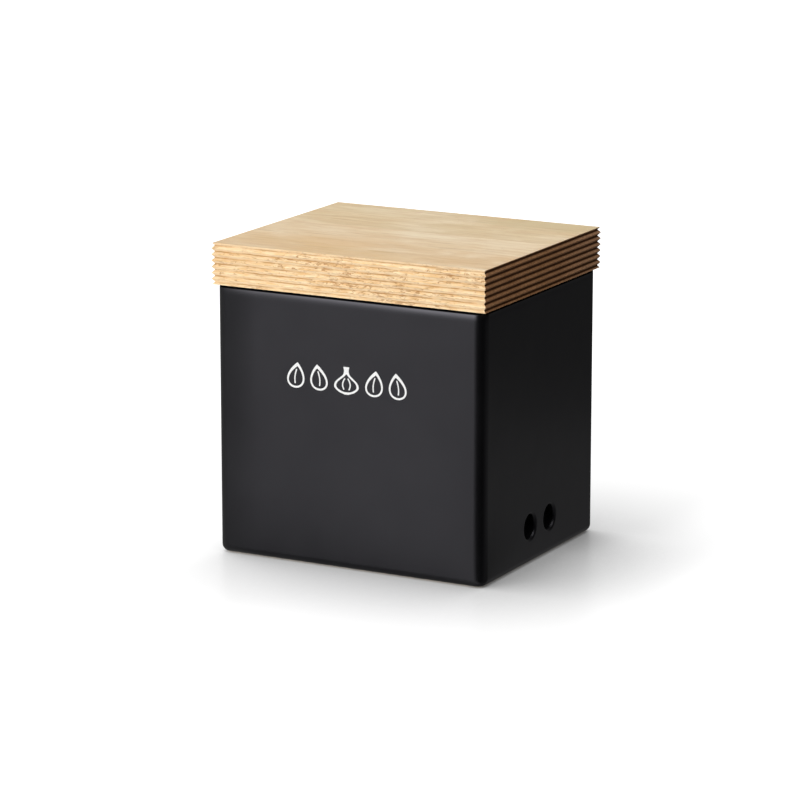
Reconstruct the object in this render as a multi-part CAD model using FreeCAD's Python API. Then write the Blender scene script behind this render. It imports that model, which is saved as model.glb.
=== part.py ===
"""Ceramic garlic keeper with a grooved wooden lid.

Millimetres, +Z up. The origin is the centre of the pot's footprint, on the surface that it stands on.
The long side lies along X, the front faces -Y, and the vent holes go through the two end walls (+X and -X).
"""
import FreeCAD, Part
import math
import os
from FreeCAD import Vector

# Pot, outside
POT_LENGTH = 133.4
POT_DEPTH = 113.4
POT_HEIGHT = 123.0
CORNER_RADIUS = 4.8
BASE_RADIUS = 3.5
RIM_OUTER_RADIUS = 1.5

# Pot, inside
WALL = 5.2
FLOOR = 5.0
RIM_INNER_RADIUS = 1.0
CAVITY_CORNER_RADIUS = 5.0
CAVITY_FLOOR_RADIUS = 4.0

# Foot ring under the pot
FOOT_LAND = 6.0
FOOT_RECESS = 1.5
FOOT_RECESS_CORNER_RADIUS = 6.0
FOOT_RECESS_FILLET = 1.0

# Vent holes, one pair through each end wall
VENT_BORE = 11.0
VENT_EDGE_RADIUS = 1.5
VENT_HEIGHT = 17.2
VENT_SPACING = 19.6
VENTS_PER_WALL = 2

# Lid board
LID_THICKNESS = 18.7
LID_OVERHANG = 1.3
FRONT_STAVE_WIDTH = 35.0
MIDDLE_STAVE_WIDTH = 31.0

# V-grooves round the lid's edge
GROOVE_PITCH = 2.74
GROOVE_DEPTH = 1.2

# Plug under the lid, which drops into the pot's mouth
PLUG_HEIGHT = 9.0
PLUG_CLEARANCE = 1.2
PLUG_EDGE_RADIUS = 1.0

# Silicone ring in the plug's groove
SEAL_GROOVE_HEIGHT = 4.2
SEAL_GROOVE_DEPTH = 2.2
SEAL_GROOVE_DROP = 2.2
SEAL_FIT = 0.1
SEAL_RUNNING_GAP = 0.3
SEAL_BACK = 1.2
SEAL_LIPS = 3
LIP_ROOT = 0.9
LIP_TIP = 0.5

# Sizes that follow from those above
MOUTH_LENGTH = POT_LENGTH - 2 * WALL
MOUTH_DEPTH = POT_DEPTH - 2 * WALL
CAVITY_FLOOR = FOOT_RECESS + FLOOR
LID_LENGTH = POT_LENGTH + 2 * LID_OVERHANG
LID_DEPTH = POT_DEPTH + 2 * LID_OVERHANG
PLUG_LENGTH = MOUTH_LENGTH - 2 * PLUG_CLEARANCE
PLUG_DEPTH = MOUTH_DEPTH - 2 * PLUG_CLEARANCE
PLUG_CORNER_RADIUS = CAVITY_CORNER_RADIUS - PLUG_CLEARANCE
LID_FRONT = -LID_DEPTH / 2
PLUG_UNDERSIDE = POT_HEIGHT - PLUG_HEIGHT
SEAL_GROOVE_FLOOR = POT_HEIGHT - SEAL_GROOVE_DROP - SEAL_GROOVE_HEIGHT

# How far a cutting tool runs past the face it opens
OVERRUN = 5.0
TOLERANCE = 1e-4


def lies_at(edge, height):
    """Whether an edge lies wholly at one height."""
    box = edge.BoundBox
    return abs(box.ZMin - height) < TOLERANCE and abs(box.ZMax - height) < TOLERANCE


def is_upright(edge):
    """Whether an edge runs straight up."""
    box = edge.BoundBox
    return max(box.XLength, box.YLength) < TOLERANCE and box.ZLength > TOLERANCE


def bounds_mouth(edge):
    """Whether an edge lies no further out than the mouth's walls."""
    box = edge.BoundBox
    across = max(-box.XMin, box.XMax) < MOUTH_LENGTH / 2 + TOLERANCE
    along = max(-box.YMin, box.YMax) < MOUTH_DEPTH / 2 + TOLERANCE
    return across and along


def rounded_block(length, depth, height, corner_radius, lower_radius=0.0, upper_radius=0.0):
    """Block that stands centred on z = 0, with its upright, lower and upper edges rounded.

    The largest rounding is made first, so that the smaller ones run on round it.
    """
    block = Part.makeBox(length, depth, height, Vector(-length / 2, -depth / 2, 0))
    roundings = [
        (corner_radius, is_upright),
        (lower_radius, lambda edge: lies_at(edge, 0)),
        (upper_radius, lambda edge: lies_at(edge, height)),
    ]
    for radius, chosen in sorted(roundings, key=lambda rounding: -rounding[0]):
        if radius > 0:
            block = block.makeFillet(radius, [edge for edge in block.Edges if chosen(edge)])
    return block


def make_cavity():
    """Inside of the pot, from its floor to past the rim."""
    height = POT_HEIGHT - CAVITY_FLOOR + OVERRUN
    cavity = rounded_block(MOUTH_LENGTH, MOUTH_DEPTH, height, CAVITY_CORNER_RADIUS, CAVITY_FLOOR_RADIUS)
    return cavity.translated(Vector(0, 0, CAVITY_FLOOR))


def make_foot_recess():
    """Shallow recess under the floor, which leaves a flat ring for the pot to stand on."""
    inset = BASE_RADIUS + FOOT_LAND
    recess = rounded_block(
        POT_LENGTH - 2 * inset,
        POT_DEPTH - 2 * inset,
        FOOT_RECESS + OVERRUN,
        FOOT_RECESS_CORNER_RADIUS,
        upper_radius=FOOT_RECESS_FILLET,
    )
    return recess.translated(Vector(0, 0, -OVERRUN))


def make_vent_cutter():
    """Bore along X through a wall that starts at x = 0, with a rounded rim where it meets the outer face."""
    bore = VENT_BORE / 2
    rim = bore + VENT_EDGE_RADIUS
    arc_shift = VENT_EDGE_RADIUS * (1 - math.sqrt(0.5))
    rim_start = Vector(WALL - VENT_EDGE_RADIUS, 0, bore)
    rim_end = Vector(WALL, 0, rim)
    rim_arc = Part.Arc(rim_start, Vector(WALL - arc_shift, 0, bore + arc_shift), rim_end)
    around = [
        rim_end,
        Vector(WALL + OVERRUN, 0, rim),
        Vector(WALL + OVERRUN, 0, 0),
        Vector(-OVERRUN, 0, 0),
        Vector(-OVERRUN, 0, bore),
        rim_start,
    ]
    outline = Part.Wire([rim_arc.toShape()] + Part.makePolygon(around).Edges)
    return Part.Face(outline).revolve(Vector(0, 0, 0), Vector(1, 0, 0), 360)


def vent_positions():
    """Distance of each vent hole from the middle of its wall."""
    middle = (VENTS_PER_WALL - 1) / 2
    return [(index - middle) * VENT_SPACING for index in range(VENTS_PER_WALL)]


def make_pot():
    """Glazed ceramic body: a hollow block on a foot ring, open at the top and vented low at both ends."""
    pot = rounded_block(POT_LENGTH, POT_DEPTH, POT_HEIGHT, CORNER_RADIUS, BASE_RADIUS, RIM_OUTER_RADIUS)
    pot = pot.cut(make_cavity()).cut(make_foot_recess())
    mouth = [edge for edge in pot.Edges if lies_at(edge, POT_HEIGHT) and bounds_mouth(edge)]
    pot = pot.makeFillet(RIM_INNER_RADIUS, mouth)
    for across in vent_positions():
        vent = make_vent_cutter().translated(Vector(MOUTH_LENGTH / 2, across, VENT_HEIGHT))
        pot = pot.cut(vent)
        pot = pot.cut(vent.mirror(Vector(0, 0, 0), Vector(1, 0, 0)))
    return pot


def groove_heights():
    """Height of each groove's bottom line above the lid's underside."""
    count = round(LID_THICKNESS / GROOVE_PITCH)
    first = (LID_THICKNESS - (count - 1) * GROOVE_PITCH) / 2
    return [first + index * GROOVE_PITCH for index in range(count)]


def cut_back(height):
    """How far the grooved edge lies behind its ridges at one height."""
    nearest = min(abs(height - groove) for groove in groove_heights())
    return GROOVE_DEPTH * max(0.0, 1 - nearest / (GROOVE_PITCH / 2))


def grooved_outline(half_width):
    """Closed outline across the lid board, as (distance, height), with V-grooves down both sides."""
    grooves = groove_heights()
    ridges = [groove + GROOVE_PITCH / 2 for groove in grooves[:-1]]
    heights = sorted([0.0, LID_THICKNESS] + grooves + ridges)
    side = [(half_width - cut_back(height), height) for height in heights]
    return side + [(-distance, height) for distance, height in reversed(side)]


def make_board():
    """Lid board: grooved prisms along X and Y, whose common part has its grooves mitred at the corners."""
    ends = [Vector(across, LID_FRONT, height) for across, height in grooved_outline(LID_LENGTH / 2)]
    sides = [Vector(-LID_LENGTH / 2, along, height) for along, height in grooved_outline(LID_DEPTH / 2)]
    grooved_ends = Part.Face(Part.makePolygon(ends + ends[:1])).extrude(Vector(0, LID_DEPTH, 0))
    grooved_sides = Part.Face(Part.makePolygon(sides + sides[:1])).extrude(Vector(LID_LENGTH, 0, 0))
    return grooved_ends.common(grooved_sides)


def make_plug():
    """Step under the board, with a groove round it for the silicone ring."""
    plug = rounded_block(PLUG_LENGTH, PLUG_DEPTH, PLUG_HEIGHT, PLUG_CORNER_RADIUS, PLUG_EDGE_RADIUS)
    band = rounded_block(
        PLUG_LENGTH + OVERRUN,
        PLUG_DEPTH + OVERRUN,
        SEAL_GROOVE_HEIGHT,
        PLUG_CORNER_RADIUS,
    )
    core = rounded_block(
        PLUG_LENGTH - 2 * SEAL_GROOVE_DEPTH,
        PLUG_DEPTH - 2 * SEAL_GROOVE_DEPTH,
        SEAL_GROOVE_HEIGHT,
        PLUG_CORNER_RADIUS - SEAL_GROOVE_DEPTH,
    )
    groove = band.cut(core).translated(Vector(0, 0, SEAL_GROOVE_FLOOR))
    return plug.translated(Vector(0, 0, PLUG_UNDERSIDE)).cut(groove)


def make_lid_staves():
    """The board and its plug, divided at the glue lines into the staves that it is made of."""
    board = make_board().translated(Vector(0, 0, POT_HEIGHT))
    lid = board.fuse(make_plug()).removeSplitter()
    glue_lines = [LID_FRONT + FRONT_STAVE_WIDTH, LID_FRONT + FRONT_STAVE_WIDTH + MIDDLE_STAVE_WIDTH]
    starts = [LID_FRONT - OVERRUN] + glue_lines
    ends = glue_lines + [-LID_FRONT + OVERRUN]
    staves = {}
    for name, start, end in zip(("front", "middle", "back"), starts, ends):
        slab = Part.makeBox(
            LID_LENGTH + 2 * OVERRUN,
            end - start,
            LID_THICKNESS + PLUG_HEIGHT + 2 * OVERRUN,
            Vector(-LID_LENGTH / 2 - OVERRUN, start, PLUG_UNDERSIDE - OVERRUN),
        )
        staves["lid_stave_" + name] = lid.common(slab)
    return staves


def rounded_rectangle(length, depth, radius):
    """Closed wire with rounded corners in the XY plane, centred on the origin."""
    block = rounded_block(length, depth, OVERRUN, radius)
    underside = min(block.Faces, key=lambda face: face.CenterOfMass.z)
    return underside.OuterWire


def seal_outline():
    """Ring's cross-section, as (outward, height) from the lower inner corner of the plug's groove."""
    back = SEAL_FIT
    front = SEAL_FIT + SEAL_BACK
    tip = SEAL_GROOVE_DEPTH + PLUG_CLEARANCE - SEAL_RUNNING_GAP
    height = SEAL_GROOVE_HEIGHT - 2 * SEAL_FIT
    step = (height - LIP_ROOT) / (SEAL_LIPS - 1)
    outline = [(back, SEAL_FIT)]
    for index in range(SEAL_LIPS):
        middle = SEAL_FIT + LIP_ROOT / 2 + index * step
        outline += [
            (front, middle - LIP_ROOT / 2),
            (tip, middle - LIP_TIP / 2),
            (tip, middle + LIP_TIP / 2),
            (front, middle + LIP_ROOT / 2),
        ]
    return outline + [(back, SEAL_FIT + height)]


def make_seal_ring():
    """Silicone ring with thin lips, swept round the floor of the plug's groove."""
    path = rounded_rectangle(
        PLUG_LENGTH - 2 * SEAL_GROOVE_DEPTH,
        PLUG_DEPTH - 2 * SEAL_GROOVE_DEPTH,
        PLUG_CORNER_RADIUS - SEAL_GROOVE_DEPTH,
    )
    first_edge = path.OrderedEdges[0]
    start = first_edge.valueAt(first_edge.FirstParameter)
    outward = first_edge.tangentAt(first_edge.FirstParameter).cross(Vector(0, 0, 1))
    if outward.dot(start) < 0:
        outward = -outward
    section = [start + outward * distance + Vector(0, 0, height) for distance, height in seal_outline()]
    profile = Part.makePolygon(section + section[:1])
    ring = path.makePipeShell([profile], True, True)
    return ring.translated(Vector(0, 0, SEAL_GROOVE_FLOOR))


def main():
    """Make every piece and write each one to its own file."""
    os.makedirs("parts", exist_ok=True)
    pieces = {"pot": make_pot()}
    pieces.update(make_lid_staves())
    pieces["seal_ring"] = make_seal_ring()
    for name, shape in pieces.items():
        shape.exportStep(os.path.join("parts", name + ".step"))


main()
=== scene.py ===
import math
import random

import bmesh
import bpy
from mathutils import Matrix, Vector, noise


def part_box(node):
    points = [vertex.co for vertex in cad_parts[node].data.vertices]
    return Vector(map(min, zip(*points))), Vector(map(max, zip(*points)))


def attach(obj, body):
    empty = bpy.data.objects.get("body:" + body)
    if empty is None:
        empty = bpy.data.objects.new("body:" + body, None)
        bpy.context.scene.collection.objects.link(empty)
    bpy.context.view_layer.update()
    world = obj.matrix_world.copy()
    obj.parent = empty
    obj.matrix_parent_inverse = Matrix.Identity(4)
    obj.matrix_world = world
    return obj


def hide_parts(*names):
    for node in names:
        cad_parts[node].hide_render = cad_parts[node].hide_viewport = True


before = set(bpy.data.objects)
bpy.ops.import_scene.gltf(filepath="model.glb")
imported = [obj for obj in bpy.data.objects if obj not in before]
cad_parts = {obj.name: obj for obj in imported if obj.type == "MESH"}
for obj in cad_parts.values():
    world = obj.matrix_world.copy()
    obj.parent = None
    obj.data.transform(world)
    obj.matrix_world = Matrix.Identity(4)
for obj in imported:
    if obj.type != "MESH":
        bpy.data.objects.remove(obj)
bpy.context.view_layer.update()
MM = 0.001

# Lid board, as packed
BOARD_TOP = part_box("lid_stave_front")[1].z
BOARD_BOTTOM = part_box("pot")[1].z
HALF_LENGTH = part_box("lid_stave_front")[1].x
HALF_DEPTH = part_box("lid_stave_back")[1].y
GROOVE_PITCH = 2.74 * MM
GROOVE_COUNT = 7
FIRST_GROOVE = (BOARD_BOTTOM + BOARD_TOP - (GROOVE_COUNT - 1) * GROOVE_PITCH) / 2
GROOVES = [FIRST_GROOVE + index * GROOVE_PITCH for index in range(GROOVE_COUNT)]
CRESTS = [height + GROOVE_PITCH / 2 for height in GROOVES[:-1]]

# Pot, as packed
POT_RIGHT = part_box("pot")[1].x
POT_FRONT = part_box("pot")[0].y


# ---------------------------------------------------------------- camera

CAMERA_AZIMUTH = 28.0
CAMERA_ELEVATION = 13.2155
CAMERA_PLACE = (0.76847, -1.45313, 0.45174)
CAMERA_LENS = 168.12


def direction(azimuth, elevation):
    """Unit vector away from the object, by degrees from the front towards +X and degrees up."""
    turn, rise = math.radians(azimuth), math.radians(elevation)
    return Vector((math.sin(turn) * math.cos(rise), -math.cos(turn) * math.cos(rise), math.sin(rise)))


def aim(thing, back):
    """Turns a camera or a lamp to look against this direction."""
    thing.rotation_mode = "QUATERNION"
    thing.rotation_quaternion = (-back).to_track_quat("-Z", "Y")


def add_to_scene(name, data):
    made = bpy.data.objects.new(name, data)
    bpy.context.scene.collection.objects.link(made)
    return made


def make_camera():
    data = bpy.data.cameras.new("camera")
    data.sensor_width = 36.0
    data.lens = CAMERA_LENS
    data.clip_start = 0.05
    data.clip_end = 60.0
    camera = add_to_scene("camera", data)
    camera.location = CAMERA_PLACE
    aim(camera, direction(CAMERA_AZIMUTH, CAMERA_ELEVATION))
    bpy.context.scene.camera = camera


# ---------------------------------------------------------------- node trees

class Graph:
    """Short way to write a node tree. An input is a number, a tuple or another node's output."""

    def __init__(self, tree):
        self.tree = tree
        tree.nodes.clear()

    def add(self, kind, inputs=None, **settings):
        made = self.tree.nodes.new(kind)
        for key, value in settings.items():
            setattr(made, key, value)
        for key, value in (inputs or {}).items():
            self.put(made.inputs[key], value)
        return made

    def put(self, socket, value):
        if isinstance(value, bpy.types.NodeSocket):
            self.tree.links.new(value, socket)
        else:
            socket.default_value = value

    def split(self, vector):
        """The vector's x, y and z."""
        return tuple(self.add("ShaderNodeSeparateXYZ", {0: vector}).outputs)

    def math(self, operation, first, second=0.0, clamp=False):
        made = self.add("ShaderNodeMath", {0: first, 1: second}, operation=operation, use_clamp=clamp)
        return made.outputs[0]

    def plus(self, first, second):
        return self.math("ADD", first, second)

    def minus(self, first, second):
        return self.math("SUBTRACT", first, second)

    def times(self, first, *others):
        for other in others:
            first = self.math("MULTIPLY", first, other)
        return first

    def size(self, value):
        return self.math("ABSOLUTE", value)

    def linear(self, value, low, high, out_low=0.0, out_high=1.0, smooth="LINEAR"):
        """Ramp from out_low at low to out_high at high, level beyond both."""
        ends = {"From Min": low, "From Max": high, "To Min": out_low, "To Max": out_high}
        made = self.add("ShaderNodeMapRange", {"Value": value, **ends}, interpolation_type=smooth)
        return made.outputs["Result"]

    def step(self, value, low, high, out_low=0.0, out_high=1.0):
        """The same, with smooth ends."""
        return self.linear(value, low, high, out_low, out_high, "SMOOTHSTEP")

    def mix(self, factor, first, second):
        made = self.add("ShaderNodeMix", data_type="RGBA")
        self.put(made.inputs[0], factor)
        self.put(made.inputs[6], first)
        self.put(made.inputs[7], second)
        return made.outputs[2]

    def tint(self, colour, layers):
        """Lays (amount, tone) over a colour, one after another."""
        for amount, tone in layers:
            colour = self.mix(amount, colour, rgba(tone))
        return colour

    def scaled(self, vector, scale, shift=(0.0, 0.0, 0.0)):
        made = self.add("ShaderNodeMapping", {"Vector": vector, "Scale": scale, "Location": shift})
        return made.outputs[0]

    def noise(self, vector, scale=1.0, detail=2.0, roughness=0.5, distortion=0.0):
        kind = {"Scale": scale, "Detail": detail, "Roughness": roughness, "Distortion": distortion}
        return self.add("ShaderNodeTexNoise", {"Vector": vector, **kind}).outputs["Fac"]

    def ramp(self, value, stops):
        """Eased ramp through (position, colour) stops."""
        made = self.add("ShaderNodeValToRGB", {"Fac": value})
        ramp = made.color_ramp
        ramp.interpolation = "EASE"
        while len(ramp.elements) > 1:
            ramp.elements.remove(ramp.elements[-1])
        ramp.elements[0].position, ramp.elements[0].color = stops[0]
        for position, colour in stops[1:]:
            ramp.elements.new(position).color = colour
        return made.outputs["Color"]

    def bump(self, height, distance, strength=1.0, below=None):
        made = self.add("ShaderNodeBump", {"Height": height, "Distance": distance, "Strength": strength})
        if below is not None:
            self.put(made.inputs["Normal"], below)
        return made.outputs["Normal"]


def new_material(name):
    material = bpy.data.materials.new(name)
    material.use_nodes = True
    graph = Graph(material.node_tree)
    shader = graph.add("ShaderNodeBsdfPrincipled")
    graph.add("ShaderNodeOutputMaterial", {"Surface": shader.outputs[0]})
    return material, graph, shader


def rgba(tone):
    return (*tone, 1.0)


def grey(value):
    return (value, value, value, 1.0)


# ---------------------------------------------------------------- wood

# Tones of the sanded faces
RING = (0.60, 0.40, 0.21)
CLOUD_LIGHT = (0.92, 0.78, 0.58)
CLOUD_DARK = (0.74, 0.51, 0.285)
WISP_LIGHT = (0.93, 0.78, 0.56)
WISP_DARK = (0.66, 0.43, 0.23)
HAIR = (0.50, 0.31, 0.155)
FIBRE = (0.58, 0.38, 0.19)
PORE = (0.34, 0.19, 0.08)

# Tones of the torn long edges
STRAND_DARK = (0.80, 0.535, 0.27)
STRAND_LIGHT = (0.91, 0.715, 0.46)
TORN_PORE = (0.34, 0.17, 0.06)
CRACK = (0.42, 0.19, 0.05)
SPLIT_CREST = (0.46, 0.22, 0.07)
PIT = (0.42, 0.205, 0.075)
# Painted light on the down-facing flanks of the long edges, which lie in shade
UNDER_FLANK_PAINTED_LIGHT = (0.97, 0.80, 0.56)
# Paler ridges near the top and underside: partly their own tone, partly painted light that lifts the first
# groove's shade
OUTER_RIDGE_PAINTED_LIGHT = (0.97, 0.83, 0.60)
LEFT_END = (0.66, 0.43, 0.205)
# Painted shade at the bottoms of the long edges' grooves
GROOVE_PAINTED_SHADE = (0.52, 0.28, 0.10)

# Tones of the end grain
END_DARK = (0.47, 0.235, 0.105)
END_LIGHT = (0.62, 0.325, 0.155)
END_RING = (0.40, 0.18, 0.07)
END_PORE = (0.22, 0.09, 0.035)
END_SPECKLE = (0.26, 0.115, 0.045)
# Painted light on the end grain's down-facing flanks
END_UNDER_FLANK_PAINTED_LIGHT = (0.80, 0.46, 0.25)
# Painted shade, nearly black, at the bottoms of the end grain's grooves
END_GROOVE_PAINTED_SHADE = (0.075, 0.022, 0.0)
END_BACK = (0.70, 0.44, 0.28)

# Where along the board its long edges are torn the most
MOST_TORN_AT = 6.0 * MM

# Figure in the boards: (x, y, half length, half width, amount, tone), in metres
FRONT_MARKS = [
    (0.0085, -0.0415, 0.0075, 0.0019, 0.40, (0.45, 0.25, 0.11)),
    (-0.022, -0.030, 0.030, 0.014, 0.36, (0.75, 0.49, 0.245)),
    (0.045, -0.046, 0.020, 0.008, 0.20, (0.74, 0.50, 0.28)),
    (-0.006, -0.050, 0.036, 0.015, 0.50, (0.72, 0.48, 0.23)),
    (-0.048, -0.034, 0.028, 0.012, 0.42, (0.72, 0.50, 0.26)),
]
MIDDLE_MARKS = [
    (0.004, 0.002, 0.026, 0.008, 0.50, (0.94, 0.81, 0.60)),
    (0.050, 0.000, 0.022, 0.009, 0.45, (0.93, 0.79, 0.58)),
    (-0.034, -0.006, 0.018, 0.010, 0.26, (0.90, 0.77, 0.58)),
    (-0.010, -0.020, 0.030, 0.006, 0.30, (0.76, 0.51, 0.28)),
]
BACK_MARKS = [
    (-0.020, 0.034, 0.026, 0.008, 0.25, (0.88, 0.73, 0.51)),
    (0.038, 0.018, 0.016, 0.007, 0.22, (0.70, 0.53, 0.32)),
    (0.050, 0.050, 0.042, 0.015, 0.50, (0.60, 0.48, 0.265)),
    (-0.045, 0.040, 0.028, 0.018, 0.25, (0.82, 0.69, 0.47)),
]


class Grain:
    """Patterns of one stave, which its tones and its relief share. Fibres run along X."""

    def __init__(self, graph, seed):
        self.graph = graph
        self.seed = seed
        self.shift = (seed * 0.37, seed * 0.53, seed * 0.71)
        place = graph.add("ShaderNodeTexCoord")
        self.point = place.outputs["Object"]
        self.x, self.y, self.z = graph.split(self.point)
        facing = graph.split(place.outputs["Normal"])
        self.end = graph.step(graph.size(facing[0]), 0.45, 0.62)
        self.flat = graph.step(graph.size(facing[2]), 0.74, 0.92)
        self.sides = graph.minus(1.0, self.flat)
        self.under = graph.step(facing[2], -0.25, -0.55)
        self.depth = graph.math("MINIMUM", graph.minus(HALF_LENGTH, graph.size(self.x)),
                                graph.minus(HALF_DEPTH, graph.size(self.y)))
        from_middle = graph.size(graph.minus(self.z, (BOARD_BOTTOM + BOARD_TOP) / 2))
        self.outer = graph.step(from_middle, 7.0 * MM, 8.0 * MM)
        self.add_figure()
        self.add_tears()

    def streaks(self, scale, detail=2.0, roughness=0.5, distortion=0.0, shift=None):
        """Noise with this many cells per metre along X, Y and Z."""
        where = self.graph.scaled(self.point, scale, shift or self.shift)
        return self.graph.noise(where, 1.0, detail, roughness, distortion)

    def add_figure(self):
        graph, seed = self.graph, self.seed
        # broad lengthwise bands, and growth rings that bend across the thickness
        self.bands = self.streaks((16.0, 70.0, 130.0), 3.0, 0.6, 0.5)
        self.cloud = self.streaks((30.0, 62.0, 62.0), 3.0, 0.6, 0.4)
        self.wisps = self.streaks((44.0, 340.0, 340.0), 3.0, 0.62, 0.3)
        self.hairs = self.streaks((34.0, 640.0, 640.0), 2.0, 0.5, 0.4, (seed, 4.0, 1.0))
        rings_at = graph.scaled(self.point, (2.0, 1.0, 1.0), (seed * 0.11, 0.012 * seed, 0.05 + 0.004 * seed))
        self.rings = graph.add(
            "ShaderNodeTexWave",
            {"Vector": rings_at, "Scale": 120.0, "Distortion": 3.0, "Detail": 3.0, "Detail Scale": 1.4},
            wave_type="RINGS", rings_direction="X", wave_profile="SIN",
        ).outputs["Fac"]
        # fibres, and the pores: dashes along the grain, dots across it
        self.fibres = self.streaks((70.0, 2400.0, 2400.0), 3.0, 0.6)
        self.fine_fibres = self.streaks((260.0, 5200.0, 5200.0))
        self.pores = graph.step(self.streaks((190.0, 2300.0, 2300.0), 2.0, 0.45), 0.645, 0.71)
        self.end_pores = graph.step(self.streaks((300.0, 2600.0, 2600.0), 1.0), 0.60, 0.68)

    def add_tears(self):
        """Cracks along the grain, split crests and dark pits, where the cutter tore the fibres."""
        graph, seed = self.graph, self.seed
        self.strands = self.streaks((120.0, 900.0, 1500.0), 3.0, 0.62, 0.3)
        wander = self.streaks((65.0, 300.0, 720.0), 2.0, 0.55, 0.5)
        gaps = self.streaks((150.0, 300.0, 500.0), 2.0, 0.6, 0.0, (3.0, 1.0, seed))
        from_crack = graph.size(graph.minus(wander, 0.5))
        self.cracks = graph.times(graph.step(from_crack, 0.022, 0.004), graph.step(gaps, 0.47, 0.60))

        ridge = graph.math("FRACT", graph.math("DIVIDE", graph.minus(self.z, GROOVES[0]), GROOVE_PITCH))
        sway = graph.linear(wander, 0.3, 0.7, -0.16, 0.16)
        from_crest = graph.size(graph.plus(graph.minus(ridge, 0.5), sway))
        self.split_crests = graph.times(graph.step(from_crest, 0.11, 0.03), graph.step(gaps, 0.56, 0.42))

        crowd = self.streaks((30.0, 60.0, 110.0), 1.0, 0.5, 0.0, (seed, 2.0, 9.7))
        from_worst = graph.size(graph.minus(self.x, MOST_TORN_AT))
        crowd = graph.plus(crowd, graph.step(from_worst, 12.0 * MM, 38.0 * MM, 0.09, -0.03))
        pits = self.streaks((330.0, 900.0, 1400.0), 1.0, 0.5, 1.0, (seed, 5.0, 2.0))
        self.pits = graph.step(graph.plus(pits, graph.linear(crowd, 0.35, 0.65, -0.08, 0.08)), 0.64, 0.67)


def face_colour(graph, grain, base, marks):
    """Sanded top and underside, with this stave's own marks."""
    darker, lighter = (rgba([part * share for part in base]) for share in (0.98, 1.02))
    colour = graph.tint(graph.mix(graph.linear(grain.bands, 0.3, 0.72), darker, lighter), [
        (graph.linear(grain.rings, 0.0, 1.0, 0.0, 0.03), RING),
        (graph.linear(grain.cloud, 0.48, 0.72, 0.0, 0.70), CLOUD_LIGHT),
        (graph.linear(grain.cloud, 0.50, 0.28, 0.0, 0.50), CLOUD_DARK),
        (graph.linear(grain.wisps, 0.50, 0.74, 0.0, 0.45), WISP_DARK),
        (graph.linear(grain.wisps, 0.48, 0.26, 0.0, 0.45), WISP_LIGHT),
        (graph.step(grain.hairs, 0.58, 0.68, 0.0, 0.34), HAIR),
        (graph.linear(grain.fibres, 0.35, 0.75, 0.0, 0.13), FIBRE),
        (graph.times(grain.pores, 0.30), PORE),
    ])

    def off(value, middle, half):
        """Squared distance from a mark's middle, as a share of its half size."""
        return graph.math("POWER", graph.math("DIVIDE", graph.minus(value, middle), half), 2.0)

    for x, y, length, width, amount, tone in marks:
        spot = graph.plus(off(grain.x, x, length), off(grain.y, y, width))
        spot = graph.plus(spot, graph.linear(grain.wisps, 0.3, 0.7, -0.55, 0.55))
        spot = graph.plus(spot, graph.linear(grain.fibres, 0.3, 0.7, -0.35, 0.35))
        colour = graph.tint(colour, [(graph.step(spot, 1.1, 0.0, 0.0, amount), tone)])
    return colour


def torn_colour(graph, grain):
    """Long edges, torn a little by the cutter: cream and orange strands, brown cracks, dark pits."""
    strands = graph.mix(graph.step(grain.strands, 0.36, 0.62), rgba(STRAND_DARK), rgba(STRAND_LIGHT))
    return graph.tint(strands, [
        (graph.times(grain.pores, 0.40), TORN_PORE),
        # the cracks, split crests and pits are darker: partly torn fibres, partly painted shade in their
        # hollows
        (graph.times(grain.cracks, 0.55), CRACK),
        (graph.times(grain.split_crests, 0.38), SPLIT_CREST),
        (graph.times(grain.pits, 0.72), PIT),
        # painted light: lifts the down-facing flanks, which lie in shade
        (graph.times(grain.under, 0.40), UNDER_FLANK_PAINTED_LIGHT),
        # paler ridges near the top and underside, partly painted light
        (graph.times(grain.outer, 0.15), OUTER_RIDGE_PAINTED_LIGHT),
        (graph.linear(grain.x, -HALF_LENGTH, 0.0, 0.16, 0.0), LEFT_END),
    ])


def end_colour(graph, grain):
    """End grain: brown and speckled, with painted light on the down-facing flanks and painted shade, nearly
    black, at the bottom of each groove.
    """
    plain = graph.mix(graph.linear(grain.bands, 0.3, 0.7), rgba(END_DARK), rgba(END_LIGHT))
    speckle = grain.streaks((300.0, 950.0, 700.0), 2.0, 0.6)
    deep = graph.minus(grain.depth, graph.times(grain.under, 0.10 * MM))
    bottom = graph.times(graph.step(deep, 0.64 * MM, 0.84 * MM), grain.sides)
    towards_back = graph.step(grain.y, 0.0, 55.0 * MM, 0.0, 0.30)
    return graph.tint(plain, [
        (graph.times(grain.rings, 0.25), END_RING),
        (graph.times(grain.end_pores, 0.45), END_PORE),
        (graph.linear(speckle, 0.40, 0.70, 0.0, 0.50), END_SPECKLE),
        # painted light on the down-facing flanks
        (graph.times(grain.under, 0.35), END_UNDER_FLANK_PAINTED_LIGHT),
        (graph.times(bottom, 0.97), END_GROOVE_PAINTED_SHADE),
        (graph.times(towards_back, graph.minus(1.0, bottom)), END_BACK),
    ])


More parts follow.
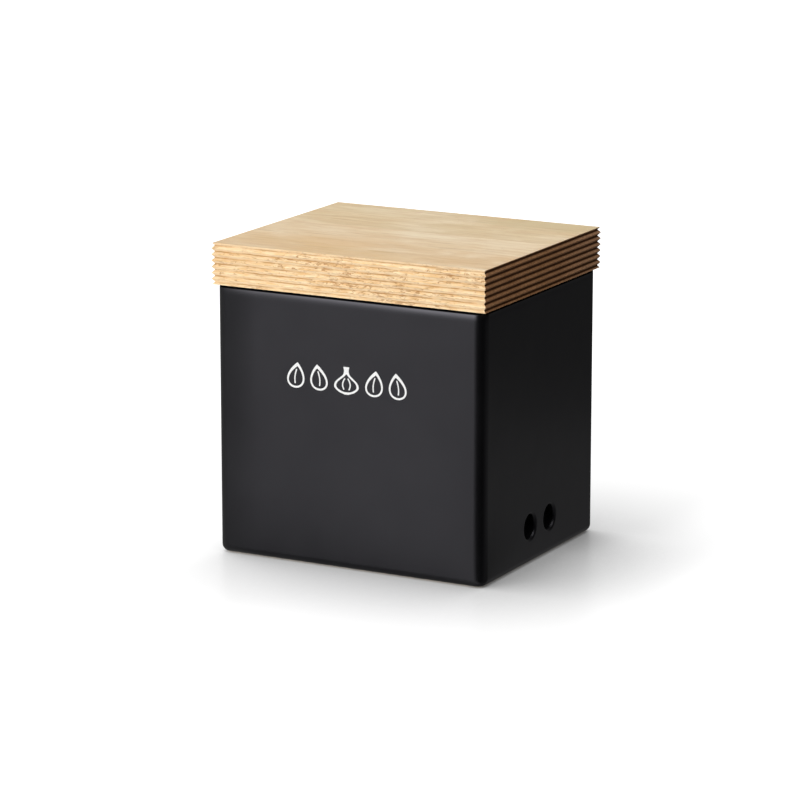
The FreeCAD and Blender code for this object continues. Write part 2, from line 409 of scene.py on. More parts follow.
def make_wood(name, base, seed, marks):
    """Oiled pale hardwood. Object coordinates are the row frame, in metres."""
    material, graph, shader = new_material(name)
    grain = Grain(graph, seed)

    colour = graph.mix(grain.sides, face_colour(graph, grain, base, marks), torn_colour(graph, grain))
    # painted shade: the long edges' grooves are browner at their bottoms, broken up by noise, less so near
    # the top and underside
    groove_shade_breakup = graph.step(grain.streaks((90.0, 300.0, 420.0), 3.0, 0.6), 0.38, 0.60, 0.12, 0.88)
    bottom = graph.times(graph.step(grain.depth, 0.90 * MM, 1.15 * MM), grain.sides,
                         graph.linear(grain.outer, 0.0, 1.0, 1.0, 0.75), groove_shade_breakup)
    colour = graph.tint(colour, [(bottom, GROOVE_PAINTED_SHADE)])
    graph.put(shader.inputs["Base Color"], graph.mix(grain.end, colour, end_colour(graph, grain)))

    gloss = graph.plus(graph.linear(grain.bands, 0.3, 0.7, 0.50, 0.60), graph.times(grain.fibres, 0.10))
    graph.put(shader.inputs["Roughness"], graph.math("ADD", gloss, graph.times(grain.end, 0.12), True))
    shader.inputs["IOR"].default_value = 1.45
    shader.inputs["Specular IOR Level"].default_value = 0.22

    layers = graph.minus(grain.strands, graph.times(graph.plus(grain.cracks, grain.pits), 0.5))
    below = graph.bump(layers, 0.28 * MM, graph.times(grain.sides, graph.minus(1.0, grain.end), 0.6))
    height = graph.plus(graph.times(grain.fibres, 0.6), graph.times(grain.fine_fibres, 0.4))
    height = graph.minus(height, graph.times(grain.pores, 0.55))
    height = graph.minus(height, graph.times(grain.end_pores, grain.end, 0.4))
    sanded = graph.linear(grain.flat, 0.0, 1.0, 0.9, 0.35)
    graph.put(shader.inputs["Normal"], graph.bump(height, 0.06 * MM, sanded, below))
    return material


# ---------------------------------------------------------------- staves

# How far in the grooved edges reach, a little more than the grooves are deep
EDGE_ZONE = 1.3 * MM
EDGE_EASE = 0.22 * MM
CREST_HALF_WIDTH = 0.14 * MM
CREST_WEAR = 0.05 * MM
# Heights at which a torn ridge is cut into strips, as shares of the way from one groove to the next
RIDGE_CUTS = (0.10, 0.19, 0.28, 0.36, 0.64, 0.72, 0.81, 0.90)
NEAR_ZERO = 0.01 * MM


def smooth(low, high, value):
    share = min(1.0, max(0.0, (value - low) / (high - low)))
    return share * share * (3 - 2 * share)


def near_crest(height):
    """1 on a ridge's crest, 0 at a groove's bottom."""
    nearest = min(abs(height - groove) for groove in GROOVES)
    return min(1.0, nearest / (GROOVE_PITCH / 2))


def torn(seed):
    """Where fibres have torn out of each long-grain ridge: (middle, half length, depth, lean) by ridge."""
    pick = random.Random(seed)
    found = {}
    for index in range(-1, len(CRESTS) + 1):
        found[index] = []
        for _ in range(pick.randint(26, 36)):
            middle = pick.uniform(-HALF_LENGTH + 3 * MM, HALF_LENGTH - 3 * MM)
            if pick.random() < 0.4:
                middle = pick.gauss(12 * MM, 24 * MM)
            half = pick.uniform(0.35, 1.0) * MM
            found[index].append((middle, half, pick.uniform(0.10, 0.34) * MM, pick.uniform(-0.5, 0.5)))
    return found


def ragged(place, side, tears):
    """Shift of a point on a long-grain grooved edge: (inward, upward)."""
    x, z = place.x, place.z
    fade = smooth(1.0 * MM, 2.4 * MM, HALF_LENGTH - abs(x))
    if fade == 0:
        return 0.0, 0.0
    row = round((z - GROOVES[0]) / GROOVE_PITCH)
    wave = noise.noise(Vector((x * 130, row * 3.7, side * 5.0)))
    grain = noise.noise(Vector((x * 480, z * 2100, side * 9.0)))
    strand = noise.noise(Vector((x * 190, z * 1500, 4.0 + side * 3.0)))
    inward = near_crest(z) * (0.05 * MM + 0.05 * MM * wave) + 0.08 * MM * grain + 0.13 * MM * strand
    index = math.floor((z - GROOVES[0]) / GROOVE_PITCH)
    crest = GROOVES[0] + (index + 0.5) * GROOVE_PITCH
    for middle, half, deep, lean in tears.get(index, ()):
        if abs(x - middle) > half:
            continue
        share = 1 - ((x - middle) / half) ** 2
        level = 1 - smooth(0.15 * MM, 0.75 * MM, abs(z - crest + lean * MM))
        inward += deep * share ** 0.6 * level
    upward = 0.20 * MM * noise.noise(Vector((x * 90, z * 500, side * 7.0 + 1.0)))
    return fade * max(0.0, inward), fade * upward


def bisect(shape, faces, point, normal):
    """Cuts these faces and returns those that they have become."""
    edges = {edge for face in faces for edge in face.edges}
    verts = {vert for face in faces for vert in face.verts}
    made = bmesh.ops.bisect_plane(shape, geom=list(verts) + list(edges) + list(faces), dist=1e-8,
                                  plane_co=point, plane_no=normal)
    return [item for item in made["geom"] if isinstance(item, bmesh.types.BMFace)]


def span(face, axis):
    values = [vert.co[axis] for vert in face.verts]
    return min(values), max(values)


def divide(shape, faces, axis, levels):
    """Cuts a row of faces at rising levels along one axis. Returns every face that it leaves."""
    normal = tuple(1.0 if index == axis else 0.0 for index in range(3))
    done = []
    rest = list(faces)
    for level in levels:
        below, above = level - 1e-7, level + 1e-7
        crossed = [face for face in rest if span(face, axis)[0] < below and span(face, axis)[1] > above]
        others = [face for face in rest if face not in set(crossed)]
        if not crossed:
            continue
        made = bisect(shape, crossed, tuple(level * part for part in normal), normal)
        rest = others
        for face in made:
            (done if span(face, axis)[1] < above else rest).append(face)
    return done + rest


def in_edge_zone(middle):
    return abs(middle.x) > HALF_LENGTH - EDGE_ZONE or abs(middle.y) > HALF_DEPTH - EDGE_ZONE


def grooved_faces(shape, side=0):
    """Faces of the grooved edges, or of the long one on that side."""
    found = []
    for face in shape.faces:
        middle = face.calc_center_median()
        if middle.z < BOARD_BOTTOM + NEAR_ZERO or abs(face.normal.z) > 0.9:
            continue
        if side and side * middle.y > HALF_DEPTH - EDGE_ZONE and abs(face.normal.x) < 0.3:
            found.append(face)
        elif not side and in_edge_zone(middle):
            found.append(face)
    return found


def ease_top(shape):
    """Rounds the outline of the board's top."""
    def on_outline(edge):
        one, two = edge.verts
        middle = (one.co + two.co) / 2
        at_top = min(one.co.z, two.co.z) > BOARD_TOP - NEAR_ZERO
        return at_top and (abs(middle.x) > HALF_LENGTH - 0.5 * MM or abs(middle.y) > HALF_DEPTH - 0.5 * MM)

    bmesh.ops.bevel(shape, geom=[edge for edge in shape.edges if on_outline(edge)], offset=EDGE_EASE,
                    segments=2, profile=0.5, affect="EDGES", clamp_overlap=True)


def cut_ridges(shape, side, seed):
    """Cuts along every crest and, on the long-grain side, into strips fine enough to tear."""
    for crest in CRESTS:
        for height in (crest - CREST_HALF_WIDTH, crest + CREST_HALF_WIDTH):
            bisect(shape, grooved_faces(shape), (0, 0, height), (0, 0, 1))
    if not side:
        return
    pick = random.Random(seed)
    columns = [-HALF_LENGTH + 1.25 * MM]
    while columns[-1] < HALF_LENGTH - 1.75 * MM:
        columns.append(columns[-1] + pick.uniform(0.38, 0.55) * MM)
    strips = divide(shape, grooved_faces(shape, side), 0, columns)
    levels = [GROOVES[0] + (index + share) * GROOVE_PITCH
              for index in range(-1, GROOVE_COUNT) for share in RIDGE_CUTS]
    divide(shape, strips, 2, [z for z in levels if BOARD_BOTTOM + 0.05 * MM < z < BOARD_TOP - 0.3 * MM])


def wear_ridges(shape, side, tears):
    """Blunts the crests and makes the long-grain side ragged."""
    for vert in shape.verts:
        place = vert.co
        if place.z < BOARD_BOTTOM - NEAR_ZERO:
            continue
        on_crest = any(abs(place.z - crest) < NEAR_ZERO for crest in CRESTS)
        if on_crest and abs(place.x) > HALF_LENGTH - 0.02 * MM:
            place.x -= math.copysign(CREST_WEAR, place.x)
        if on_crest and abs(place.y) > HALF_DEPTH - 0.02 * MM:
            place.y -= math.copysign(CREST_WEAR, place.y)
        if side and side * place.y > HALF_DEPTH - EDGE_ZONE and abs(place.x) < HALF_LENGTH - 1.2 * MM:
            inward, upward = ragged(place.copy(), side, tears)
            if place.z > BOARD_TOP - 0.3 * MM or place.z < BOARD_BOTTOM + 0.05 * MM:
                inward, upward = inward * 0.6, 0.0
            place.y -= side * inward
            place.z += upward


def make_stave(node, material, side, seed):
    """Stave with eased edges and, on the long-grain side (-1 front, 1 back, 0 none), ragged ridges."""
    shape = bmesh.new()
    shape.from_mesh(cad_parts[node].data)
    bmesh.ops.remove_doubles(shape, verts=shape.verts, dist=0.002 * MM)
    bmesh.ops.dissolve_limit(shape, angle_limit=math.radians(0.5), verts=shape.verts, edges=shape.edges)
    ease_top(shape)
    cut_ridges(shape, side, seed)
    wear_ridges(shape, side, torn(seed + 11) if side else {})
    bmesh.ops.recalc_face_normals(shape, faces=shape.faces)

    mesh = bpy.data.meshes.new(node + "_wood")
    shape.to_mesh(mesh)
    shape.free()
    if "custom_normal" in mesh.attributes:
        mesh.attributes.remove(mesh.attributes["custom_normal"])
    # small faces are shaded smooth and large ones flat, after the sharp edges, which reset this
    mesh.set_sharp_from_angle(angle=math.radians(26))
    for face in mesh.polygons:
        face.use_smooth = face.area < 1.0 * MM * MM
    mesh.materials.append(material)
    piece = add_to_scene(node + "_wood", mesh)
    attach(piece, "lid")
    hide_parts(node)


# ---------------------------------------------------------------- pot

# Glaze near the rim, which ran thin; at the very top its outer rounding has no reflection, painted shade for
# the dark line under the lid
RIM_THINS_FROM = BOARD_BOTTOM - 5.6 * MM
RIM_DARK_LINE_FROM = BOARD_BOTTOM - 1.5 * MM
RIM_TILT = 0.36
# Slope of the front at its left end, and how far left of the middle it begins to bow back
LEFT_TILT = 0.40
BOWS_FROM = 45.0 * MM

GLAZE_DARK = (0.0028, 0.0028, 0.0032)
GLAZE_LIGHT = (0.0042, 0.0042, 0.0046)
SPECK = (0.018, 0.018, 0.020)
INSIDE_DARK = (0.018, 0.018, 0.019)
INSIDE_LIGHT = (0.028, 0.028, 0.029)
CLAY_DARK = (0.50, 0.41, 0.31)
CLAY_LIGHT = (0.62, 0.53, 0.42)


def glaze_lean(graph, x, z):
    """Height that leans the faces' normals: inwards towards the rim, and back at the front's left end."""
    rim = RIM_DARK_LINE_FROM - RIM_THINS_FROM
    rise = graph.math("MAXIMUM", graph.minus(z, RIM_THINS_FROM), 0.0)
    # the faces sweep in towards the rim, more so at the right end
    sweep = graph.times(graph.math("POWER", rise, 3.0), -RIM_TILT / (3 * rim * rim),
                        graph.linear(x, -POT_RIGHT, POT_RIGHT, 0.45, 1.0))
    left = graph.math("MAXIMUM", graph.minus(-BOWS_FROM, x), 0.0)
    bow = graph.times(graph.math("POWER", left, 2.0), -LEFT_TILT / (2 * (POT_RIGHT - BOWS_FROM)))
    return graph.plus(sweep, bow)


def make_glaze():
    """Satin black glaze, with bare clay where the glaze was cleaned off the foot ring, and painted shade
    along the rim's outer rounding.
    """
    material, graph, shader = new_material("black_satin_glaze")
    place = graph.add("ShaderNodeTexCoord")
    point = place.outputs["Object"]
    x, y, z = graph.split(point)
    facing = graph.split(place.outputs["Normal"])
    cloud = graph.noise(point, 38.0, 3.0, 0.55)
    clay_grain = graph.noise(point, 900.0, 3.0, 0.6)

    bare_below = graph.linear(graph.noise(point, 220.0), 0.3, 0.7, 0.23 * MM, 0.47 * MM)
    bare = graph.times(graph.math("LESS_THAN", z, bare_below), graph.math("LESS_THAN", facing[2], -0.4))
    # depth from the outer faces: the inside is a lighter black than the outside, painted light so that the
    # shaded inside still shows
    within = graph.math("MINIMUM", graph.minus(POT_RIGHT, graph.size(x)),
                        graph.minus(-POT_FRONT, graph.size(y)))
    inside = graph.times(graph.step(within, 4.2 * MM, 5.2 * MM), graph.step(z, 2.5 * MM, 3.5 * MM))
    # painted shade: a strip along the rim's outer rounding, under the lid
    rim_shade_line = graph.times(graph.step(z, RIM_DARK_LINE_FROM, RIM_DARK_LINE_FROM + 0.25 * MM),
                        graph.step(within, 1.5 * MM, 1.0 * MM))

    glaze = graph.mix(graph.linear(cloud, 0.3, 0.7), rgba(GLAZE_DARK), rgba(GLAZE_LIGHT))
    specks = graph.step(graph.noise(point, 1500.0, 1.0, 0.5), 0.66, 0.74, 0.0, 0.25)
    glaze = graph.tint(glaze, [(specks, SPECK)])
    glaze = graph.mix(inside, glaze, graph.mix(cloud, rgba(INSIDE_DARK), rgba(INSIDE_LIGHT)))
    clay = graph.mix(clay_grain, rgba(CLAY_DARK), rgba(CLAY_LIGHT))
    graph.put(shader.inputs["Base Color"], graph.mix(bare, glaze, clay))

    matt = graph.math("MAXIMUM", graph.times(bare, 0.4), graph.times(rim_shade_line, 0.3))
    satin = graph.linear(cloud, 0.3, 0.7, 0.31, 0.35)
    graph.put(shader.inputs["Roughness"], graph.math("ADD", satin, matt, True))
    # painted shade: no reflection on that strip, so it reads as a dark line
    graph.put(shader.inputs["Specular IOR Level"], graph.linear(rim_shade_line, 0.0, 1.0, 0.5, 0.0))
    shader.inputs["IOR"].default_value = 1.5
    shader.inputs["Specular Tint"].default_value = rgba((0.92, 0.895, 1.0))

    # from coarse to fine: the lean, the hand-made wobble, the glaze's orange peel and the clay's grain
    wobble = graph.noise(point, 55.0, 1.0, 0.4)
    peel = graph.noise(point, 420.0, 2.0, 0.5)
    normal = graph.bump(glaze_lean(graph, x, z), 1.0)
    normal = graph.bump(wobble, 0.25 * MM, 0.5, normal)
    normal = graph.bump(peel, 0.012 * MM, 0.6, normal)
    normal = graph.bump(clay_grain, 0.05 * MM, graph.times(bare, 0.8), normal)
    graph.put(shader.inputs["Normal"], normal)
    return material


def dress(node, material):
    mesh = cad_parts[node].data
    mesh.materials.clear()
    mesh.materials.append(material)


# ---------------------------------------------------------------- seal

MILKY_DARK = (0.80, 0.79, 0.76)
MILKY_LIGHT = (0.90, 0.89, 0.86)
LINT = (0.6, 0.56, 0.5)


def make_silicone():
    material, graph, shader = new_material("milky_silicone")
    point = graph.add("ShaderNodeTexCoord").outputs["Object"]
    cloud = graph.noise(point, 160.0, 2.0, 0.5)
    colour = graph.mix(cloud, rgba(MILKY_DARK), rgba(MILKY_LIGHT))
    lint = graph.step(graph.noise(graph.scaled(point, (1.0, 1.0, 3.0)), 1300.0, 2.0, 0.6), 0.70, 0.78)
    graph.put(shader.inputs["Base Color"], graph.tint(colour, [(graph.times(lint, 0.25), LINT)]))
    graph.put(shader.inputs["Roughness"], graph.linear(cloud, 0.3, 0.7, 0.36, 0.46))
    shader.inputs["IOR"].default_value = 1.41
    shader.inputs["Subsurface Weight"].default_value = 0.35
    shader.inputs["Subsurface Radius"].default_value = (1.0, 0.9, 0.8)
    shader.inputs["Subsurface Scale"].default_value = 0.0015
    graph.put(shader.inputs["Normal"], graph.bump(graph.noise(point, 700.0, 2.0), 0.01 * MM, 0.5))
    return material


# ---------------------------------------------------------------- pictograms

# Millimetres on the front face: middle of the row, sizes, and each clove's shift along the row and lean
ROW_X, ROW_Z = -0.6, 86.0
STROKE = 0.85
THIN_STROKE = STROKE * 0.72
CLOVE_WIDTH, CLOVE_HEIGHT = 8.6, 11.6
BULB_WIDTH, BULB_HEIGHT = 12.2, 12.4
LEFT_CLOVES = ((-25.6, 1.1), (-13.6, -1.1))
RIGHT_CLOVES = ((13.6, 1.1), (25.6, -1.1))
# The print is 0.07 mm thick. Its middle lies this far out, so it stands 0.05 mm proud of the glaze.
PRINT_HALF_THICKNESS = 0.035 * MM
PRINT_MIDDLE_OUT = 0.015 * MM


def clove_loops(lean, width, height):
    """Teardrop outline with a hollow, and one ridge line inside it. Millimetres, from the middle."""
    def drop(half_width, low, high, count=56):
        loop = []
        for index in range(count):
            turn = 2 * math.pi * index / count
            along = (1 - math.cos(turn)) / 2
            across = half_width * math.sin(turn) * (1 - along) ** 0.42 * 1.28
            up = low + (high - low) * along
            curve = lean * ((up - low) / (high - low)) ** 2
            loop.append((across + curve, up))
        return loop

    half = height / 2
    loops = [drop(width / 2, -half, half), drop(width / 2 - STROKE, -half + STROKE, half - 2.1 * STROKE)]
    middle = []
    for index in range(13):
        share = index / 12
        up = -half + 2.3 + (height - 5.6) * share
        sway = lean * 0.42 * math.sin(math.pi * (0.15 + 0.85 * share))
        middle.append((lean * ((up + half) / height) ** 2 - sway, up))
    loops.append(stroke_loop(middle, THIN_STROKE))
    return loops


def stroke_loop(points, width):
    """Outline of a line with round ends."""
    left, right = [], []
    for index, (x, y) in enumerate(points):
        before = points[max(0, index - 1)]
        after = points[min(len(points) - 1, index + 1)]
        run = math.hypot(after[0] - before[0], after[1] - before[1])
        nx, ny = -(after[1] - before[1]) / run, (after[0] - before[0]) / run
        left.append((x + nx * width / 2, y + ny * width / 2))
        right.append((x - nx * width / 2, y - ny * width / 2))

    def cap(centre, start):
        first = math.atan2(start[1] - centre[1], start[0] - centre[0])
        return [
            (centre[0] + width / 2 * math.cos(first - math.pi * k / 6),
             centre[1] + width / 2 * math.sin(first - math.pi * k / 6))
            for k in range(1, 6)
        ]

    return left + cap(points[-1], left[-1]) + right[::-1] + cap(points[0], right[0])


def curve_through(profile):
    """Smooth curve through points, with 5 steps from each to the next."""
    dense = []
    for index in range(len(profile) - 1):
        p0 = profile[max(0, index - 1)]
        p1, p2 = profile[index], profile[index + 1]
        p3 = profile[min(len(profile) - 1, index + 2)]
        for k in range(5):
            t = k / 5
            dense.append(tuple(
                0.5 * (2 * b + (c - a) * t + (2 * a - 5 * b + 4 * c - d) * t * t
                       + (3 * b - a - 3 * c + d) * t ** 3)
                for a, b, c, d in zip(p0, p1, p2, p3)
            ))
    return dense + [profile[-1]]


def bulb_loops(width, height):
    """Garlic bulb with a short stem: outline, hollow and two lines between its cloves."""
    foot, top = -height / 2, height / 2
    # right halves, from the foot to the top, as (share of the half width, millimetres)
    outer = [
        (0.0, foot), (0.16, foot), (0.26, foot + 0.25), (0.62, foot + 1.0), (0.95, foot + 2.6),
        (1.0, foot + 4.0), (0.88, foot + 5.6), (0.58, foot + 7.2), (0.32, foot + 8.5), (0.215, foot + 9.6),
        (0.19, foot + 10.8), (0.235, top - 0.15), (0.17, top), (0.0, top),
    ]
    inner = [
        (0.0, foot + 1.05), (0.32, foot + 1.25), (0.66, foot + 2.2), (0.815, foot + 3.3), (0.81, foot + 4.4),
        (0.67, foot + 5.7), (0.42, foot + 6.9), (0.17, foot + 8.1), (0.06, foot + 8.9), (0.0, foot + 9.1),
    ]
    loops = []
    for profile in (outer, inner):
        right = [(x * width / 2, y) for x, y in curve_through(profile)]
        loops.append(right + [(-x, y) for x, y in reversed(right[1:-1])])
    for sign in (-1, 1):
        line = []
        for index in range(13):
            share = index / 12
            out = width * 0.155 * math.sin(math.pi * (0.25 + 0.60 * share))
            line.append((sign * out, foot + 2.35 + (height - 7.7) * share))
        loops.append(stroke_loop(line, THIN_STROKE))
    return loops


def make_enamel():
    material, graph, shader = new_material("white_enamel")
    point = graph.add("ShaderNodeTexCoord").outputs["Object"]
    cover = graph.noise(point, 2200.0, 2.0, 0.6)
    colour = graph.mix(graph.step(cover, 0.34, 0.46), grey(0.62), rgba((0.80, 0.80, 0.79)))
    graph.put(shader.inputs["Base Color"], colour)
    graph.put(shader.inputs["Roughness"], graph.linear(cover, 0.3, 0.7, 0.36, 0.5))
    graph.put(shader.inputs["Normal"], graph.bump(graph.noise(point, 900.0, 2.0), 0.01 * MM, 0.5))
    return material


def make_pictograms():
    """Row of plain garlic pictograms, printed in white enamel on the front."""
    row = [(shift, clove_loops(lean, CLOVE_WIDTH, CLOVE_HEIGHT)) for shift, lean in LEFT_CLOVES]
    row.append((0.0, bulb_loops(BULB_WIDTH, BULB_HEIGHT)))
    row += [(shift, clove_loops(lean, CLOVE_WIDTH, CLOVE_HEIGHT)) for shift, lean in RIGHT_CLOVES]
    curve = bpy.data.curves.new("pictogram_lines", "CURVE")
    curve.dimensions = "2D"
    curve.fill_mode = "BOTH"
    curve.extrude = PRINT_HALF_THICKNESS
    for shift, loops in row:
        for loop in loops:
            spline = curve.splines.new("POLY")
            spline.points.add(len(loop) - 1)
            for point, (x, y) in zip(spline.points, loop):
                point.co = ((ROW_X + shift + x) * MM, (ROW_Z + y) * MM, 0.0, 1.0)
            spline.use_cyclic_u = True
    drawn = add_to_scene("pictogram_lines", curve)
    bpy.context.view_layer.update()
    mesh = bpy.data.meshes.new_from_object(drawn.evaluated_get(bpy.context.evaluated_depsgraph_get()))
    bpy.data.objects.remove(drawn)
    for vert in mesh.vertices:
        x, up, out = vert.co
        vert.co = (x, POT_FRONT - PRINT_MIDDLE_OUT - out, up)
    shape = bmesh.new()
    shape.from_mesh(mesh)
    bmesh.ops.remove_doubles(shape, verts=shape.verts, dist=0.001 * MM)
    bmesh.ops.recalc_face_normals(shape, faces=shape.faces)
    shape.to_mesh(mesh)
    shape.free()
    mesh.name = "front_pictograms"
    mesh.materials.clear()
    mesh.materials.append(make_enamel())
    piece = add_to_scene("front_pictograms", mesh)
    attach(piece, "pot")


# ---------------------------------------------------------------- stage

# Levels by direction, as (degrees from the front towards +X, level).
# Glossy rays see these three on the floor, in rings about the pot's front right corner
NEAR_GLOSS = [
    (-180, 0.10), (-130, 0.15), (-90, 0.18), (-73, 0.38), (-50, 0.56), (-38, 0.62), (-28, 0.60),
    (-20, 0.42), (-12, 0.15), (-4, 0.02), (4, 0.0), (70, 0.0), (85, 0.03), (102, 0.10), (125, 0.12),
    (150, 0.05), (168, 0.165),
]
MIDDLE_GLOSS = [
    (-180, 0.14), (-130, 0.18), (-90, 0.22), (-75, 0.36), (-62, 0.56), (-54, 0.72), (-46, 0.84),
    (-38, 0.87), (-28, 0.83), (-20, 0.46), (-12, 0.15), (-4, 0.02), (4, 0.0), (70, 0.0), (85, 0.03),
    (102, 0.15), (125, 0.17), (150, 0.150), (168, 0.145),
]
FAR_GLOSS = [
    (-180, 0.15), (-130, 0.20), (-90, 0.22), (-60, 0.30), (-50, 0.38), (-43, 0.58), (-37, 0.86),
    (-34, 0.89), (-27, 0.83), (-19, 0.45), (-11, 0.12), (-3, 0.02), (4, 0.0), (70, 0.0), (85, 0.02),
    (102, 0.08), (125, 0.08), (150, 0.060), (168, 0.078),
]
# and these two in the world, low and high
HORIZON_GLOSS = [
    (-180, 0.6), (-152, 0.8), (-125, 0.4), (-100, 0.2), (-70, 0.8), (-45, 2.5), (-20, 3.0), (0, 0.3),
    (12, 0.02), (128, 0.02), (165, 0.15),
]
HIGH_GLOSS = [
    (-180, 0.4), (-152, 0.5), (-100, 0.1), (-60, 0.6), (-42, 4.8), (-18, 6.4), (-6, 1.0), (10, 0.02),
    (128, 0.02), (165, 0.1),
]
# Other rays than the camera's and the glossy ones see this on the floor
BOUNCE = [(-180, 0.20), (-90, 0.80), (-45, 1.0), (0, 1.1), (20, 0.6), (45, 0.08), (140, 0.06), (172, 0.12)]


def azimuth_of(graph, vector):
    """0 to 1 round the object: 0.5 is in front, less is to the left of it, more to the right."""
    x, y, _ = graph.split(vector)
    turn = graph.math("ARCTAN2", x, graph.times(y, -1.0))
    return graph.linear(turn, -math.pi, math.pi)


def brightest(*level_lists):
    return max(level for levels in level_lists for angle, level in levels)


def round_about(graph, where, levels, white=1.0):
    """Level by direction, from (degrees, level) pairs, as a share of white."""
    return graph.ramp(where, [((angle + 180) / 360, grey(level / white)) for angle, level in levels])


def by_ray(graph, seen, glossy, other):
    """Surface that camera rays, glossy rays and all other rays each see in their own way."""
    ray = graph.add("ShaderNodeLightPath").outputs
    unseen = graph.add("ShaderNodeMixShader", {0: ray["Is Glossy Ray"], 1: other, 2: glossy}).outputs[0]
    return graph.add("ShaderNodeMixShader", {0: ray["Is Camera Ray"], 1: unseen, 2: seen}).outputs[0]


def floor_shade(graph, point, x, y, off):
    """Soft shadow round the pot, painted into the floor's glow: the pot's ambient occlusion, lifted on its
    left, and painted shadow patches behind and beside it. Light comes from the front left and above.
    """
    lean = graph.add("ShaderNodeCombineXYZ", {0: -0.50, 1: 0.20, 2: 0.84}).outputs[0]
    around = graph.add("ShaderNodeAmbientOcclusion", {"Distance": 0.080, "Normal": lean}, samples=16)
    shade = around.outputs["AO"]
    lit_left = graph.step(x, -85.0 * MM, -62.0 * MM, 0.85, 0.0)
    shade = graph.plus(shade, graph.times(graph.minus(1.0, shade), lit_left))
    # painted shadow patches behind the pot and beside its right side
    behind = graph.times(graph.step(y, 45.0 * MM, 72.0 * MM), graph.step(off, 0.24, 0.17),
                         graph.step(x, 115.0 * MM, 80.0 * MM))
    beside = graph.times(graph.step(x, 20.0 * MM, 60.0 * MM), graph.step(x, 92.0 * MM, 68.0 * MM),
                         graph.step(y, 8.0 * MM, 40.0 * MM), graph.step(y, 70.0 * MM, 44.0 * MM))
    return graph.times(graph.math("POWER", shade, 1.15), graph.linear(behind, 0.0, 1.0, 1.0, 0.88),
                       graph.linear(beside, 0.0, 1.0, 1.0, 0.80))


def make_floor():
    size = 12.0
    corners = [(-size, -size, 0), (size, -size, 0), (size, size, 0), (-size, size, 0)]
    mesh = bpy.data.meshes.new("floor")
    mesh.from_pydata(corners, [], [(0, 1, 2, 3)])
    floor = add_to_scene("floor", mesh)

    material = bpy.data.materials.new("pale_floor")
    material.use_nodes = True
    material.cycles.emission_sampling = "NONE"
    graph = Graph(material.node_tree)
    point = graph.add("ShaderNodeNewGeometry").outputs["Position"]
    x, y, _ = graph.split(point)
    from_corner = graph.scaled(point, (1.0, 1.0, 1.0), (-POT_RIGHT, -POT_FRONT, 0.0))
    away, off = (graph.add("ShaderNodeVectorMath", {0: run}, operation="LENGTH").outputs["Value"]
                 for run in (point, from_corner))
    where = azimuth_of(graph, from_corner)

    diffuse = graph.add("ShaderNodeBsdfDiffuse", {"Color": grey(0.20)})
    sheen = graph.add("ShaderNodeBsdfAnisotropic", {"Color": grey(1.0), "Roughness": 0.30})
    surface = graph.add("ShaderNodeMixShader", {0: 0.17, 1: diffuse.outputs[0], 2: sheen.outputs[0]})
    level = graph.times(graph.step(away, 0.11, 0.45, 0.86, 1.1), floor_shade(graph, point, x, y, off))
    glow = graph.add("ShaderNodeEmission", {"Color": grey(1.0), "Strength": level})
    seen = graph.add("ShaderNodeAddShader", {0: surface.outputs[0], 1: glow.outputs[0]})

    near, middle, far = (round_about(graph, where, levels)
                         for levels in (NEAR_GLOSS, MIDDLE_GLOSS, FAR_GLOSS))
    rings = graph.mix(graph.step(off, 0.24, 0.42), graph.mix(graph.step(off, 0.04, 0.13), near, middle), far)
    gloss = graph.add("ShaderNodeEmission", {"Color": rings, "Strength": 1.0})
    white = brightest(BOUNCE)
    bounced = round_about(graph, where, BOUNCE, white)
    bounce = graph.add("ShaderNodeEmission", {"Color": bounced, "Strength": white})
    whole = by_ray(graph, seen.outputs[0], gloss.outputs[0], bounce.outputs[0])
    graph.add("ShaderNodeOutputMaterial", {"Surface": whole})
    mesh.materials.append(material)


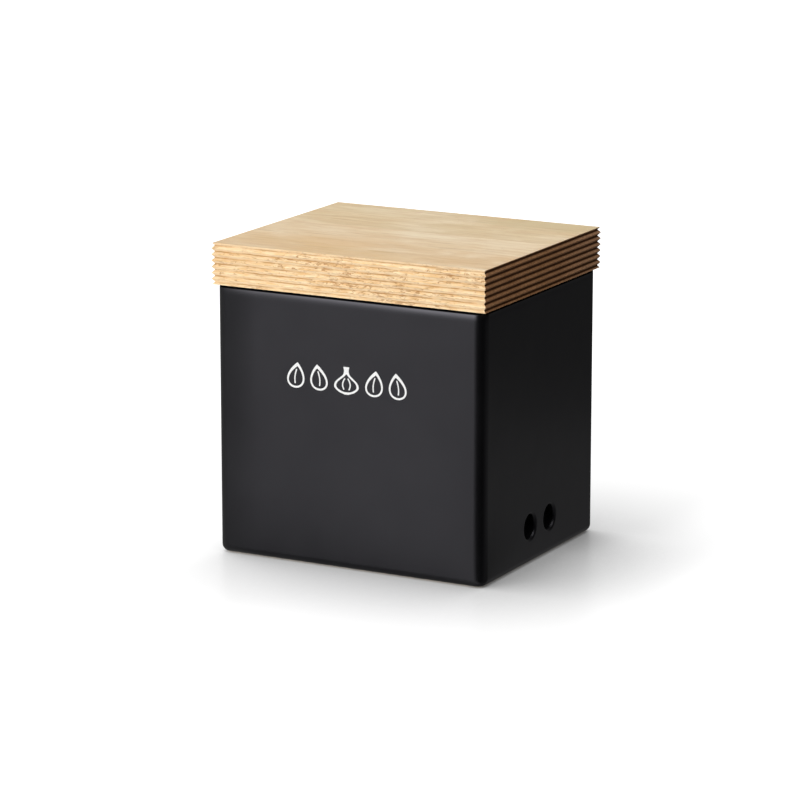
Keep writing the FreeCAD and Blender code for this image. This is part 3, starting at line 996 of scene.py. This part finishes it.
def make_world():
    world = bpy.data.worlds.new("studio")
    bpy.context.scene.world = world
    world.use_nodes = True
    graph = Graph(world.node_tree)
    towards = graph.add("ShaderNodeTexCoord").outputs["Generated"]
    where = azimuth_of(graph, towards)
    height = graph.split(towards)[2]
    white = brightest(HORIZON_GLOSS, HIGH_GLOSS)
    low, high = (round_about(graph, where, levels, white) for levels in (HORIZON_GLOSS, HIGH_GLOSS))
    sky = graph.mix(graph.step(height, 0.06, 0.20), low, high)
    ambient, gloss, backdrop = (
        graph.add("ShaderNodeBackground", {"Color": colour, "Strength": strength}).outputs[0]
        for colour, strength in ((grey(1.0), 0.12), (sky, white), (grey(1.0), 1.0))
    )
    graph.add("ShaderNodeOutputWorld", {"Surface": by_ray(graph, backdrop, gloss, ambient)})


LAMPS_FACE = Vector((0, 0, 0.08))


def add_lamp(name, azimuth, elevation, distance, width, height, level, glossy=True):
    """Softbox that gives a white surface facing it this level. Azimuth is from the front towards +X."""
    back = direction(azimuth, elevation)
    data = bpy.data.lights.new(name, "AREA")
    data.shape = "RECTANGLE"
    data.size = width
    data.size_y = height
    data.energy = level * math.pi ** 2 * distance ** 2
    lamp = add_to_scene(name, data)
    lamp.location = LAMPS_FACE + back * distance
    aim(lamp, back)
    lamp.visible_camera = False
    lamp.visible_glossy = glossy


# ---------------------------------------------------------------- whole scene

# Staves: (node, slot, plain tone, seed of the grain, marks, side that is torn, seed of the tears)
STAVES = [
    ("lid_stave_front", "wood_front", (0.775, 0.575, 0.355), 1.0, FRONT_MARKS, -1, 101),
    ("lid_stave_middle", "wood_middle", (0.81, 0.635, 0.420), 2.3, MIDDLE_MARKS, 0, 202),
    ("lid_stave_back", "wood_back", (0.765, 0.605, 0.380), 4.1, BACK_MARKS, 1, 303),
]

bpy.context.scene.view_settings.view_transform = "Standard"
make_camera()
for node, slot, tone, grain_seed, marks, side, seed in STAVES:
    make_stave(node, make_wood(slot, tone, grain_seed, marks), side, seed)
dress("pot", make_glaze())
dress("seal_ring", make_silicone())
make_pictograms()
make_floor()
make_world()
add_lamp("key", -20, 16, 1.7, 1.2, 1.4, 0.80, glossy=False)
add_lamp("top", -35, 78, 1.6, 1.2, 1.2, 0.60)
add_lamp("fill", 78, 50, 1.5, 0.9, 0.9, 0.16)
